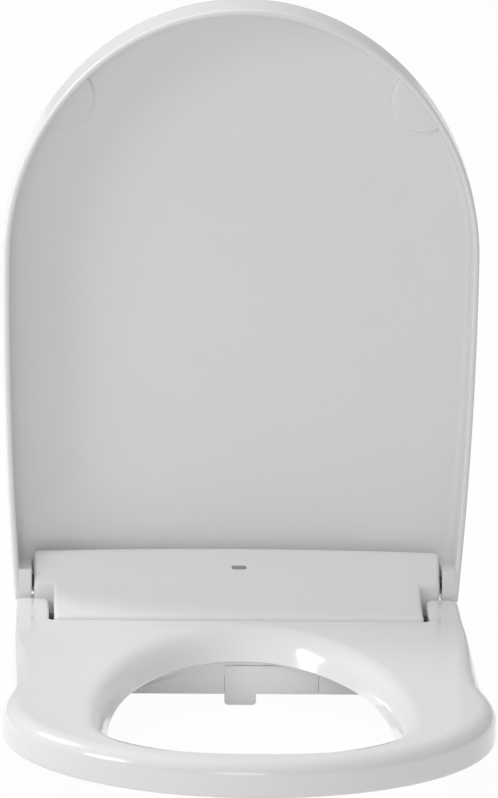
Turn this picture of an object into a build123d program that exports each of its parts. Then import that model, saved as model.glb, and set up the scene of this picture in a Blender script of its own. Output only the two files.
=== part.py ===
import os
from math import cos, radians, sin, tan

from build123d import *

os.makedirs("parts", exist_ok=True)

# Electric bidet seat, in millimetres. The origin is midway between the two deck bolts, on the
# plane of the bowl's rim. +Z is up, and the front of the seat points along -Y.

# Clearances
run_gap = 0.05  # hinge pin in its bore
slide_gap = 0.3  # faces that pass each other
part_gap = 2.0  # mouldings of the unit that stand side by side

# Mounting plate and its two slots
plate_half_x = 105.0
plate_half_y = 27.0
plate_thick = 5.5
bolt_spacing = 155.0
slot_width = 8.5
slot_length = 25.0
head_width = 17.0
head_depth = 3.0
plate_corner = 6.0

# Base tray
tray_floor = 9.5  # top of the tray's floor
tray_lift = 1.0  # underside over the rim plane
tray_rim = 12.0  # joint line with the cover
narrow_half = 146.0
step_width = 15.5  # the unit is this much wider behind its step, on each side
wide_half = narrow_half + step_width
step_y = -12.0  # where the narrow front part begins
front_y = -64.0
tray_rear_y = 48.0
rear_box_y = 25.0  # front of the box behind the cover
rear_box_top = 33.0
rear_box_wall = 4.0
tray_inset = 1.5
tray_front_gap = 0.5
recess_gap = 0.4  # over the plate, beyond the sliding gap
pad_r = 8.0
pad_height = 2.5
pad_y_front = -50.0
pad_y_rear = 38.0
pad_margin = 21.0
pad_x = narrow_half - pad_margin

# Cover
cover_wall = 3.0
front_top_z = 38.5
front_round = 5.0
ramp_y = -26.0
ramp_z = 44.1
swell_y = -7.0
swell_z = 60.0
crest_y = 6.0
crest_z = 71.2
rear_y = 22.0
rear_z = 56.0
cover_edge_round = 3.0
window_length = 12.0
window_height = 3.2
window_y = 1.0
boss_r = 4.0
screw_r = 1.5
screw_head_r = 3.0
screw_head_height = 2.5
screw_top = 24.0
screw_front = (100.0, -53.0)
screw_margin = 21.5
screw_rear = (wide_half - screw_margin, 13.5)

# Lid
lid_axis_z = 50.0
lid_lean = 2.0  # degrees past upright when open
lip_h = -11.0  # heights in the lid are over its axis, as when closed
panel_h = 29.0
back_h = 33.0
lid_wall = 4.5
lid_half = 187.5
lid_wide_s = 263.0  # lengths in the lid run from its axis to its tip
lid_tip_s = 461.6
ear_gap = 2.0  # between the unit's side and the lid's ear
ear_width = 12.5
ear_inner_x = wide_half + ear_gap
lid_rear_half = ear_inner_x + ear_width
lid_rear_s = -13.0
back_grow_side = 1.5
back_grow_tip = 4.5
lid_back_round = 6.0
ear_front_s = 11.4
ear_round = 9.0
lid_pad_r = 22.0
lid_pad_x = lid_half * 3 / 4
lid_pad_s = lid_wide_s + (lid_tip_s - lid_wide_s) * 2 / 3
lid_pad_height = 1.8

# Seat
seat_top = 36.0
seat_low = 5.0
seat_under = 14.0
seat_axis_y = -37.0
seat_axis_z = 28.0
arm_gap = 5.0  # between the unit's narrow front and the seat's arms
arm_width = 24.6
arm_in = narrow_half + arm_gap
arm_out = arm_in + arm_width
arm_end_r = 23.0
seat_rear_s = 66.5
flank_s = 222.0
flank_half = 180.0
seat_half = 187.0
seat_wide_s = 285.0
seat_tip_s = 446.5
seat_round = 8.0
seat_low_round = 3.5
seat_wall = 6.0
seat_skin = 4.0
arm_corner = 9.0
arm_root = 6.0
hole_split_s = 330.0  # widest place of the opening
hole_top_half = 114.0
hole_top_rear_s = 84.0
hole_top_front_s = 412.0
hole_low_half = 107.0
hole_low_rear_s = 110.0
hole_low_front_s = 404.0
hole_round = 6.0
hollow_s = 135.0  # the hollow of the ring begins here
pan_thick = 2.5
heater_thick = 0.8
bumper_r = 9.0
bumper_round = 2.0
bumpers_rear = (147.0, 178.0)
bumpers_front = (124.0, 368.0)

# Hinge pins and dampers
pin_r = 5.0
pin_in_lid = 6.5
pin_in_seat = 13.0
lid_damper_r = 8.0
lid_damper_long = 38.0
lid_damper_gap = 10.5  # to the cover's side wall
lid_damper_end = wide_half - cover_wall - lid_damper_gap
seat_damper_r = 9.0
seat_damper_gap = 3.0  # to the cover's side wall
seat_damper_end = narrow_half - cover_wall - seat_damper_gap
seat_damper_space = 7.0  # to the dryer's casing
damper_foot = 8.0

# Nozzle
wand_r = 5.0
wand_tilt = 20.0
wand_long = 100.0
wand_tip_long = 16.0
wand_tip_s = 83.0  # stowed tip
wand_tip_z = -3.0
guide_half = 9.0
guide_tube_r = 7.5
guide_front_s = 52.0
guide_mid_s = 28.0
guide_rear_s = -9.0
motor_r = 12.0
motor_long = 26.0

# Nozzle pod and its flap
pod_half = 100.0
pod_front_s = 106.0
pod_low = -12.7
pod_top = 13.4
pod_wall = 3.0
pod_roof = 2.3
flap_left = -12.4
flap_right = 61.3
flap_axis_z = 9.0
tab_half = 12.4
tab_low = -21.6
tab_corner = 3.0
flap_pin_r = 1.0
flap_pin_long = 3.0

# Warm-air dryer
dryer_x = 79.0
dryer_y = -30.0
dryer_r = 24.0
dryer_top = 34.0
dryer_wall = 2.0
dryer_eye_r = 10.0
fan_r = 18.0
fan_hub_r = 6.0
fan_shaft_r = 2.0
fan_blades = 9
fan_blade_thick = 1.4
duct_left = 20.0
duct_right = 50.0
duct_rear_y = -20.0
duct_top = 30.0
duct_bend_y = -44.0
duct_notch_run = 8.0  # notch in the tray's front, behind the bend
duct_low_y = -59.0
duct_low_z = 11.0
duct_mouth_s = 101.0
duct_mouth_top = 7.0
duct_mouth_low = -6.0
duct_wall = 1.6

# Water side and board
heater_box = (68.0, 40.0, 21.0)
heater_x = -60.0
heater_y = -36.0
port_r = 3.5
port_long = 6.0
board_x = -76.0
board_y = 1.0
board_long = 54.0
board_wide = 20.0
board_thick = 1.6
board_z = 24.0
post_r = 2.5
valve_margin = 49.5  # from the unit's left side
valve_x = valve_margin - wide_half
valve_long = 34.0
valve_deep = 15.0
valve_high = 15.0
coil_r = 6.0
coil_high = 3.0
inlet_z = 18.0
inlet_y = 36.0
inlet_stem_r = 7.0
spigot_r = 10.4
spigot_long = 14.0
gland_margin = 33.5  # from the unit's right side
gland_x = wide_half - gland_margin
gland_z = 20.0
gland_r = 6.5
gland_flange_r = 10.0
gland_flange_thick = 5.0
gland_bore_r = 3.6
gland_bore_depth = 10.0
gland_round = 1.5

# Release button
button_y = 34.4
button_z = 17.0
button_wide = 13.0
button_high = 9.0
button_proud = 5.0
button_flange = 2.5
button_flange_thick = 3.0
button_corner = 2.0
button_round = 1.2

# Worked-out places
lid_plane = Plane(
    origin=(0, 0, lid_axis_z),
    x_dir=(1, 0, 0),
    z_dir=(0, cos(radians(lid_lean)), -sin(radians(lid_lean))),
)
hinge_plane = Plane(origin=lid_plane.origin, x_dir=lid_plane.z_dir, z_dir=(1, 0, 0))
wand_run = wand_long * cos(radians(wand_tilt))
wand_tail = (0, wand_run - wand_tip_s, wand_tip_z + wand_long * sin(radians(wand_tilt)))
wand_plane = Plane(
    origin=wand_tail,
    x_dir=(1, 0, 0),
    z_dir=(0, -cos(radians(wand_tilt)), -sin(radians(wand_tilt))),
)
wand_slope = tan(radians(wand_tilt))
flap_axis_s = pod_front_s - pod_wall / 2
arm_rear_s = -seat_axis_y - arm_end_r
seat_damper_long = seat_damper_end - dryer_x - dryer_r - seat_damper_space
side_wall_x = wide_half - tray_inset
rear_box_ceiling = rear_box_top - rear_box_wall


def save(piece, name):
    # label a finished piece and write it to its own file
    piece.part.label = name
    export_step(piece.part, f"parts/{name}.step")


def d_outline(half, wide_s, tip_s, rear_half, rear_s):
    # lid outline seen from above when closed: an arc down each side, a half ellipse at the tip
    with BuildLine() as line:
        side_mid = (half + rear_half) / 2 + (half - rear_half) / 4
        start = (rear_half, -rear_s)
        ThreePointArc(start, (side_mid, -(wide_s + rear_s) / 2), (half, -wide_s))
        EllipticalCenterArc((0, -wide_s), half, tip_s - wide_s, 270)
        Line((0, -rear_s), start)
        mirror(about=Plane.YZ)
    return line.line


def lid_outline(inset, grow_side=0.0, grow_tip=0.0, rear_s=lid_rear_s):
    grow = grow_side - inset
    return d_outline(
        lid_half + grow, lid_wide_s, lid_tip_s + grow_tip - inset, lid_rear_half + grow, rear_s
    )


def flank_lines(inset):
    # right flank of the seat: a flare from the straight side into the half ellipse of the front
    with BuildLine() as line:
        Spline(
            (flank_half - inset, -flank_s),
            (seat_half - inset, -seat_wide_s),
            tangents=((flank_half - arm_out, arm_rear_s - flank_s), (0, -1)),
        )
        EllipticalCenterArc(
            (0, -seat_wide_s), seat_half - inset, seat_tip_s - seat_wide_s - inset, 270
        )
    return line.edges()


def seat_outline():
    # whole seat with its two hinge arms
    with BuildLine() as line:
        Polyline(
            (0, -seat_rear_s),
            (arm_in, -seat_rear_s),
            (arm_in, -arm_rear_s),
            (arm_out, -arm_rear_s),
            (flank_half, -flank_s),
        )
        add(flank_lines(0))
        mirror(about=Plane.YZ)
    return line.line


def ring_outline(inset):
    # seat ring without its arms, drawn in by a wall
    flank_rear = arm_out + (flank_half - arm_out) * (seat_rear_s - arm_rear_s) / (flank_s - arm_rear_s)
    with BuildLine() as line:
        Polyline(
            (0, -seat_rear_s - inset),
            (flank_rear - inset, -seat_rear_s - inset),
            (flank_half - inset, -flank_s),
        )
        add(flank_lines(inset))
        mirror(about=Plane.YZ)
    return line.line


def hole_outline(half, rear_s, front_s):
    # seat opening: two half ellipses that share their width
    with BuildLine() as line:
        EllipticalCenterArc((0, -hole_split_s), half, hole_split_s - rear_s)
        EllipticalCenterArc((0, -hole_split_s), half, front_s - hole_split_s, 270)
        mirror(about=Plane.YZ)
    return line.line


def cover_profile(inset, low):
    # side view of the cover: front face, ramp, swelling crest and rear face
    with BuildLine() as line:
        front = Line((front_y + inset, low), (front_y + inset, front_top_z - front_round))
        nose = TangentArc(
            front @ 1, (front_y + front_round, front_top_z - inset), tangent=front % 1
        )
        Line(nose @ 1, (ramp_y, ramp_z - inset))
        ramp_dir = (ramp_y - front_y - front_round, ramp_z - front_top_z)
        swell = TangentArc((ramp_y, ramp_z - inset), (swell_y, swell_z - inset), tangent=ramp_dir)
        crest = TangentArc(swell @ 1, (crest_y, crest_z - inset), tangent=swell % 1)
        rear = TangentArc(crest @ 1, (rear_y - inset, rear_z), tangent=crest % 1)
        Line(rear @ 1, (rear_y - inset, low))
        Line((rear_y - inset, low), (front_y + inset, low))
    return line.line


# Mounting plate
with BuildPart() as mounting_plate:
    with BuildSketch():
        RectangleRounded(2 * plate_half_x, 2 * plate_half_y, plate_corner)
    extrude(amount=plate_thick)
    with BuildSketch():
        with Locations((-bolt_spacing / 2, 0), (bolt_spacing / 2, 0)):
            SlotOverall(slot_length, slot_width)
    extrude(amount=plate_thick, mode=Mode.SUBTRACT)
    with BuildSketch(Plane.XY.offset(plate_thick - head_depth)):
        with Locations((-bolt_spacing / 2, 0), (bolt_spacing / 2, 0)):
            SlotOverall(slot_length + head_width - slot_width, head_width)
    extrude(amount=head_depth, mode=Mode.SUBTRACT)
save(mounting_plate, "mounting_plate")

# Base tray: floor, rim, rear box, board posts, and the recess that slides over the plate
screw_places = [(sx * x, y) for x, y in (screw_front, screw_rear) for sx in (-1, 1)]
pad_places = [(sx * pad_x, y) for y in (pad_y_front, pad_y_rear) for sx in (-1, 1)]
post_places = [
    (board_x + sx * (board_long / 2 - post_r), board_y + sy * (board_wide / 2 - post_r))
    for sx in (-1, 1)
    for sy in (-1, 1)
]
tray_front = front_y + tray_inset + tray_front_gap
recess_top = plate_thick + slide_gap + recess_gap
with BuildPart() as base_tray:
    with BuildSketch(Plane.XY.offset(tray_lift)):
        with BuildLine():
            Polyline(
                (0, tray_front),
                (narrow_half - tray_inset, tray_front),
                (narrow_half - tray_inset, step_y + tray_inset),
                (side_wall_x, step_y + tray_inset),
                (side_wall_x, tray_rear_y),
                (0, tray_rear_y),
            )
            mirror(about=Plane.YZ)
        make_face()
    extrude(amount=tray_floor - tray_lift)
    rear_edges = base_tray.edges().filter_by(Axis.Z).group_by(Axis.Y)[-1]
    fillet(rear_edges, plate_corner)
    with BuildSketch(Plane.XY.offset(tray_floor)) as rear_box_plan:
        with Locations((0, (rear_box_y + tray_rear_y) / 2)):
            Rectangle(2 * side_wall_x, tray_rear_y - rear_box_y)
        fillet(rear_box_plan.vertices().group_by(Axis.Y)[-1], plate_corner)
    extrude(amount=rear_box_top - tray_floor)
    with Locations((0, (rear_box_y + tray_rear_y - rear_box_wall) / 2, (tray_floor + rear_box_ceiling) / 2)):
        Box(
            2 * (side_wall_x - rear_box_wall),
            tray_rear_y - rear_box_wall - rear_box_y,
            rear_box_ceiling - tray_floor,
            mode=Mode.SUBTRACT,
        )
    with BuildSketch(Plane.XY.offset(tray_floor)):
        with Locations(*screw_places):
            Circle(boss_r)
    extrude(amount=tray_rim - tray_floor)
    with BuildSketch(Plane.XY.offset(tray_floor)):
        with Locations(*post_places):
            Circle(post_r)
    extrude(amount=board_z - tray_floor)
    recess_rear = tray_rear_y + 1
    recess_front = -plate_half_y - slide_gap
    with Locations((0, (recess_rear + recess_front) / 2, recess_top / 2)):
        Box(
            2 * (plate_half_x + slide_gap),
            recess_rear - recess_front,
            recess_top,
            mode=Mode.SUBTRACT,
        )
    with Locations(*[(x, y, 0) for x, y in pad_places]):
        Cylinder(pad_r, pad_height, align=(Align.CENTER, Align.CENTER, Align.MIN), mode=Mode.SUBTRACT)
    with Locations(*[(x, y, 0) for x, y in screw_places]):
        Cylinder(
            screw_r + run_gap, tray_rim, align=(Align.CENTER, Align.CENTER, Align.MIN), mode=Mode.SUBTRACT
        )
        Cylinder(
            screw_head_r + slide_gap,
            tray_lift + screw_head_height,
            align=(Align.CENTER, Align.CENTER, Align.MIN),
            mode=Mode.SUBTRACT,
        )
    # slot for the nozzle guide and notch for the dryer duct
    slot_rear_y = -guide_mid_s + part_gap
    with Locations((0, (tray_front + slot_rear_y) / 2, tray_floor / 2)):
        Box(
            2 * (guide_half + slide_gap),
            slot_rear_y - tray_front + 1,
            tray_floor + 2,
            mode=Mode.SUBTRACT,
        )
    duct_notch_rear = duct_bend_y + duct_notch_run
    with Locations(((duct_left + duct_right) / 2, (tray_front + duct_notch_rear) / 2, tray_floor / 2)):
        Box(
            duct_right - duct_left + 2 * slide_gap,
            duct_notch_rear - tray_front + 1,
            tray_floor + 2,
            mode=Mode.SUBTRACT,
        )
    # wall holes for the water inlet, the gland and the release button
    with Locations(Location((-side_wall_x, inlet_y, inlet_z), (0, 90, 0))):
        Cylinder(inlet_stem_r + run_gap, 4 * rear_box_wall, mode=Mode.SUBTRACT)
    with Locations(Location((gland_x, tray_rear_y, gland_z), (90, 0, 0))):
        Cylinder(gland_r + run_gap, 4 * rear_box_wall, mode=Mode.SUBTRACT)
    with BuildSketch(Plane.YZ.offset(side_wall_x - 2 * rear_box_wall)):
        with Locations((button_y, button_z)):
            RectangleRounded(
                button_wide + 2 * slide_gap, button_high + 2 * slide_gap, button_corner + slide_gap
            )
    extrude(amount=4 * rear_box_wall, mode=Mode.SUBTRACT)
save(base_tray, "base_tray")

with BuildPart() as base_pads:
    with Locations(*[(x, y, 0) for x, y in pad_places]):
        Cylinder(pad_r, pad_height, align=(Align.CENTER, Align.CENTER, Align.MIN))
save(base_pads, "base_pads")

with BuildPart() as cover_screws:
    with Locations(*[(x, y, tray_lift) for x, y in screw_places]):
        Cylinder(screw_r, screw_top - tray_lift, align=(Align.CENTER, Align.CENTER, Align.MIN))
        Cylinder(screw_head_r, screw_head_height, align=(Align.CENTER, Align.CENTER, Align.MIN))
save(cover_screws, "cover_screws")

# Cover: one smooth moulding, wide behind the step and narrow between the seat arms
def cover_block(half, inset, low, from_y, rounding):
    # the side view carried across to both sides, cut off in front of a plane, with rounded edges
    with BuildPart() as block:
        with BuildSketch(Plane.YZ):
            add(cover_profile(inset, low))
            make_face()
        extrude(amount=half, both=True)
        split(bisect_by=Plane.XZ.offset(-from_y), keep=Keep.BOTTOM)
        if rounding:
            ends = block.faces().filter_by(Axis.X)
            front_face = block.faces().sort_by(Axis.Y)[0]
            edges = ends[0].edges() + ends[1].edges() + front_face.edges().filter_by(Axis.X)
            fillet(edges.filter_by_position(Axis.Z, low + 1, crest_z + 1), rounding)
    return block.part


with BuildPart() as cover_hollow:
    add(cover_block(narrow_half - cover_wall, cover_wall, tray_rim - 1, front_y, 0))
    add(cover_block(wide_half - cover_wall, cover_wall, tray_rim - 1, step_y + cover_wall, 0))
    with Locations(*[(x, y, 0) for x, y in screw_places]):
        Cylinder(boss_r, crest_z, align=(Align.CENTER, Align.CENTER, Align.MIN), mode=Mode.SUBTRACT)

with BuildPart() as cover_whole:
    add(cover_block(narrow_half, 0, tray_rim, front_y - 1, cover_edge_round))
    add(cover_block(wide_half, 0, tray_rim, step_y, cover_edge_round))
    add(cover_hollow.part, mode=Mode.SUBTRACT)
    for axis_y, axis_z in ((0, lid_axis_z), (seat_axis_y, seat_axis_z)):
        with Locations(Location((0, axis_y, axis_z), (0, 90, 0))):
            Cylinder(pin_r + run_gap, 2 * wide_half + 2, mode=Mode.SUBTRACT)
    with Locations(*[(x, y, tray_rim) for x, y in screw_places]):
        Cylinder(
            screw_r + run_gap,
            screw_top - tray_rim + 1,
            align=(Align.CENTER, Align.CENTER, Align.MIN),
            mode=Mode.SUBTRACT,
        )

with BuildPart() as status_window:
    add(cover_whole.part)
    with BuildSketch(Plane.XY.offset(swell_z)):
        with Locations((0, window_y)):
            SlotOverall(window_length, window_height)
    extrude(amount=crest_z - swell_z + 5, mode=Mode.INTERSECT)
save(status_window, "status_window")

with BuildPart() as housing_cover:
    add(cover_whole.part)
    add(status_window.part, mode=Mode.SUBTRACT)
save(housing_cover, "housing_cover")

# Lid: a deep shell that stands open, with an ear at each hinge
with BuildPart() as lid_shell:
    with BuildSketch(lid_plane.offset(lip_h)):
        add(lid_outline(0))
        make_face()
    with BuildSketch(lid_plane.offset(back_h)):
        add(lid_outline(0, back_grow_side, back_grow_tip))
        make_face()
    loft(ruled=True)
    back_face = lid_shell.faces().sort_by(Axis(lid_plane.origin, lid_plane.z_dir))[-1]
    fillet(back_face.edges(), lid_back_round)
    with BuildSketch(lid_plane.offset(lip_h)):
        add(lid_outline(lid_wall, rear_s=lid_rear_s - 2 * lid_wall))
        make_face()
    extrude(amount=panel_h - lip_h, mode=Mode.SUBTRACT)
    ear_outer_x = lid_rear_half - lid_wall / 2
    with BuildSketch(lid_plane.offset(lip_h)):
        ear_x = (ear_inner_x + ear_outer_x) / 2
        ear_s = (ear_front_s + lid_rear_s) / 2
        with Locations((-ear_x, -ear_s), (ear_x, -ear_s)):
            Rectangle(ear_outer_x - ear_inner_x, ear_front_s - lid_rear_s)
    extrude(amount=panel_h - lip_h)
    with BuildSketch(hinge_plane):
        with Locations((lip_h + ear_round / 2, lid_rear_s + ear_round / 2)):
            Rectangle(ear_round, ear_round)
        with Locations((lip_h + ear_round, lid_rear_s + ear_round)):
            Circle(ear_round, mode=Mode.SUBTRACT)
    extrude(amount=2 * lid_half, both=True, mode=Mode.SUBTRACT)
    with Locations(*[Location((sx * ear_inner_x, 0, lid_axis_z), (0, 90, 0)) for sx in (-1, 1)]):
        Cylinder(pin_r + run_gap, 2 * (pin_in_lid + slide_gap), mode=Mode.SUBTRACT)
save(lid_shell, "lid_shell")

with BuildPart() as lid_pads:
    with BuildSketch(lid_plane.offset(panel_h - lid_pad_height)):
        add(lid_outline(lid_wall))
        make_face()
        with Locations((lid_pad_x, -lid_pad_s)):
            Circle(lid_pad_r, mode=Mode.INTERSECT)
    extrude(amount=lid_pad_height)
    mirror(about=Plane.YZ)
save(lid_pads, "lid_pads")

# Seat: a rounded ring with two hinge arms, hollow from below
with BuildPart() as seat_shell:
    with BuildSketch(Plane.XY.offset(seat_low)) as seat_plan:
        add(seat_outline())
        make_face()
        arm_points = seat_plan.vertices().filter_by_position(Axis.Y, -arm_rear_s - 1, -arm_rear_s + 1)
        fillet(arm_points, arm_corner)
        root_points = seat_plan.vertices().filter_by_position(Axis.Y, -seat_rear_s - 1, -seat_rear_s + 1)
        fillet([p for p in root_points if abs(p.X) > arm_in / 2], arm_root)
    extrude(amount=seat_top - seat_low)
    fillet(seat_shell.faces().sort_by(Axis.Z)[-1].edges(), seat_round)
    fillet(seat_shell.faces().sort_by(Axis.Z)[0].edges(), seat_low_round)
    with BuildSketch(Plane.YZ):
        with Locations((seat_axis_y + arm_end_r / 2, seat_axis_z - arm_end_r / 2)):
            Rectangle(arm_end_r + 1, arm_end_r + 1)
        with Locations((seat_axis_y, seat_axis_z)):
            Circle(arm_end_r, mode=Mode.SUBTRACT)
        with Locations((seat_axis_y, seat_axis_z + 1)):
            Rectangle(4 * arm_end_r, 2, mode=Mode.SUBTRACT)
        with Locations((seat_axis_y - 1, seat_axis_z)):
            Rectangle(2, 4 * arm_end_r, mode=Mode.SUBTRACT)
    extrude(amount=seat_half, both=True, mode=Mode.SUBTRACT)
    with BuildSketch(Plane.XY.offset(seat_low - 1)):
        add(ring_outline(seat_wall))
        make_face()
    extrude(amount=seat_under - seat_low + 1, mode=Mode.SUBTRACT)
    with Locations((0, -(seat_rear_s + seat_wall), seat_low - 1)):
        Box(
            2 * narrow_half,
            4 * seat_wall,
            seat_under - seat_low + 1,
            align=(Align.CENTER, Align.CENTER, Align.MIN),
            mode=Mode.SUBTRACT,
        )
    with BuildSketch(Plane.XY.offset(seat_under)):
        add(hole_outline(hole_low_half, hole_low_rear_s, hole_low_front_s))
        make_face()
    with BuildSketch(Plane.XY.offset(seat_top)):
        add(hole_outline(hole_top_half, hole_top_rear_s, hole_top_front_s))
        make_face()
    loft(ruled=True, mode=Mode.SUBTRACT)
    fillet(seat_shell.faces().sort_by(Axis.Z)[-1].inner_wires()[0].edges(), hole_round)
    with BuildSketch(Plane.XY.offset(seat_under)):
        add(ring_outline(seat_wall))
        make_face()
        with BuildSketch(mode=Mode.SUBTRACT):
            add(hole_outline(
                hole_top_half + seat_wall, hole_top_rear_s - seat_wall, hole_top_front_s + seat_wall
            ))
            make_face()
        Rectangle(2 * seat_half, 2 * hollow_s, mode=Mode.SUBTRACT)
    extrude(amount=seat_top - seat_skin - seat_under, mode=Mode.SUBTRACT)
    with Locations(*[Location((sx * arm_in, seat_axis_y, seat_axis_z), (0, 90, 0)) for sx in (-1, 1)]):
        Cylinder(pin_r + run_gap, 2 * (pin_in_seat + slide_gap), mode=Mode.SUBTRACT)
save(seat_shell, "seat_shell")


def ring_sheet(low, thick, gap):
    # a flat C of the ring's hollow, drawn in by a gap all round
    with BuildPart() as sheet:
        with BuildSketch(Plane.XY.offset(low)):
            add(ring_outline(seat_wall + gap))
            make_face()
            with BuildSketch(mode=Mode.SUBTRACT):
                add(hole_outline(
                    hole_top_half + seat_wall + gap,
                    hole_top_rear_s - seat_wall - gap,
                    hole_top_front_s + seat_wall + gap,
                ))
                make_face()
            Rectangle(2 * seat_half, 2 * (hollow_s + gap), mode=Mode.SUBTRACT)
        extrude(amount=thick)
    return sheet


seat_pan = ring_sheet(seat_under, pan_thick, slide_gap)
save(seat_pan, "seat_pan")

seat_heater = ring_sheet(seat_top - seat_skin - heater_thick, heater_thick, seat_wall)
save(seat_heater, "seat_heater")

with BuildPart() as seat_bumpers:
    with Locations(*[(sx * x, -s, 0) for x, s in (bumpers_rear, bumpers_front) for sx in (-1, 1)]):
        Cylinder(bumper_r, seat_under, align=(Align.CENTER, Align.CENTER, Align.MIN))
    fillet(seat_bumpers.faces().filter_by(Axis.Z).group_by(Axis.Z)[0].edges(), bumper_round)
save(seat_bumpers, "seat_bumpers")


# Hinge pins and soft-close dampers
def pin_pair(from_x, to_x, y, z, radius):
    with BuildPart() as pins:
        with Locations(*[Location((sx * (from_x + to_x) / 2, y, z), (0, 90, 0)) for sx in (-1, 1)]):
            Cylinder(radius, to_x - from_x)
    return pins


def damper_pair(end_x, long, y, z, radius):
    # a drum on the hinge line with a foot down to the tray
    with BuildPart() as dampers:
        with Locations(*[Location((sx * (end_x - long / 2), y, z), (0, 90, 0)) for sx in (-1, 1)]):
            Cylinder(radius, long)
        with Locations(*[(sx * (end_x - long / 2), y, tray_floor) for sx in (-1, 1)]):
            Box(long / 2, damper_foot, z - tray_floor, align=(Align.CENTER, Align.CENTER, Align.MIN))
    return dampers


lid_hinge_pins = pin_pair(lid_damper_end, ear_inner_x + pin_in_lid, 0, lid_axis_z, pin_r)
save(lid_hinge_pins, "lid_hinge_pins")

seat_hinge_pins = pin_pair(seat_damper_end, arm_in + pin_in_seat, seat_axis_y, seat_axis_z, pin_r)
save(seat_hinge_pins, "seat_hinge_pins")

lid_dampers = damper_pair(lid_damper_end, lid_damper_long, 0, lid_axis_z, lid_damper_r)
save(lid_dampers, "lid_dampers")

seat_dampers = damper_pair(seat_damper_end, seat_damper_long, seat_axis_y, seat_axis_z, seat_damper_r)
save(seat_dampers, "seat_dampers")

# Spray nozzle: a wand with its tip, the guide that it slides in and its motor
with BuildPart(wand_plane) as nozzle_wand:
    Cylinder(wand_r, wand_long - wand_tip_long, align=(Align.CENTER, Align.CENTER, Align.MIN))
save(nozzle_wand, "nozzle_wand")

with BuildPart(wand_plane.offset(wand_long - wand_tip_long)) as nozzle_tip:
    Cylinder(wand_r, wand_tip_long, align=(Align.CENTER, Align.CENTER, Align.MIN))
    fillet(nozzle_tip.faces().sort_by(Axis.Z)[0].edges(), wand_r / 2)
    for along in (wand_tip_long / 3, wand_tip_long / 2):
        with Locations(Location((0, 0, along), (90, 0, 0))):
            Cylinder(wand_r / 5, wand_r, align=(Align.CENTER, Align.CENTER, Align.MAX), mode=Mode.SUBTRACT)
save(nozzle_tip, "nozzle_tip")


def wand_z(s):
    # height of the wand's centre line at a place along the seat
    return wand_tip_z + (wand_tip_s - s) * wand_slope


guide_cap = guide_tube_r / cos(radians(wand_tilt))
with BuildPart() as nozzle_guide:
    with BuildSketch(Plane.YZ):
        with BuildLine():
            Polyline(
                (-guide_mid_s, tray_floor),
                (-guide_rear_s, tray_floor),
                (-guide_rear_s, wand_z(guide_rear_s) + guide_cap),
                (-guide_mid_s, wand_z(guide_mid_s) + guide_cap),
                close=True,
            )
        make_face()
    extrude(amount=guide_half, both=True)
    tail_s = -wand_tail[1]
    tube_from = (guide_mid_s - part_gap - tail_s) / cos(radians(wand_tilt))
    tube_to = (guide_front_s - tail_s) / cos(radians(wand_tilt))
    with Locations(wand_plane.offset(tube_from)):
        Cylinder(guide_tube_r, tube_to - tube_from, align=(Align.CENTER, Align.CENTER, Align.MIN))
    with Locations(wand_plane.offset(-wand_long)):
        Cylinder(
            wand_r + slide_gap,
            3 * wand_long,
            align=(Align.CENTER, Align.CENTER, Align.MIN),
            mode=Mode.SUBTRACT,
        )
save(nozzle_guide, "nozzle_guide")

with BuildPart() as nozzle_motor:
    with Locations(Location((guide_half + motor_long / 2, -part_gap, tray_floor + motor_r), (0, 90, 0))):
        Cylinder(motor_r, motor_long)
save(nozzle_motor, "nozzle_motor")

# Nozzle pod under the seat's rear lip, and the flap in its front
pod_rear_s = -tray_front
pod_ceiling = pod_top - pod_roof
cover_face_s = -front_y + slide_gap
with BuildPart() as nozzle_pod:
    with Locations((0, -(pod_rear_s + pod_front_s) / 2, (pod_low + pod_top) / 2)):
        Box(2 * pod_half, pod_front_s - pod_rear_s, pod_top - pod_low)
    fillet(nozzle_pod.edges().filter_by(Axis.Z).group_by(Axis.Y)[0], pod_wall)
    pod_hollow_s = (pod_rear_s - 1 + pod_front_s - pod_wall) / 2
    with Locations((0, -pod_hollow_s, (pod_low + pod_wall + pod_ceiling) / 2)):
        Box(
            2 * (pod_half - pod_wall),
            pod_front_s - pod_wall - pod_rear_s + 1,
            pod_ceiling - pod_low - pod_wall,
            mode=Mode.SUBTRACT,
        )
    with Locations((0, -(pod_rear_s + cover_face_s) / 2, (tray_rim - slide_gap + pod_top + 1) / 2)):
        Box(
            2 * pod_half,
            cover_face_s - pod_rear_s,
            pod_top + 1 - tray_rim + slide_gap,
            mode=Mode.SUBTRACT,
        )
    with Locations(((flap_left + flap_right) / 2, -pod_front_s, (pod_low - 1 + pod_ceiling) / 2)):
        Box(
            flap_right - flap_left + 2 * slide_gap,
            2 * (pod_wall + slide_gap),
            pod_ceiling - pod_low + 1,
            mode=Mode.SUBTRACT,
        )
    with Locations((0, -(wand_tip_s + pod_front_s) / 2, pod_low)):
        Box(2 * (wand_r + part_gap), pod_front_s - wand_tip_s, 3 * pod_wall, mode=Mode.SUBTRACT)
    for x in (flap_left, flap_right):
        with Locations(Location((x, -flap_axis_s, flap_axis_z), (0, 90, 0))):
            Cylinder(flap_pin_r + run_gap, 2 * (flap_pin_long + slide_gap), mode=Mode.SUBTRACT)
save(nozzle_pod, "nozzle_pod")

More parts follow.
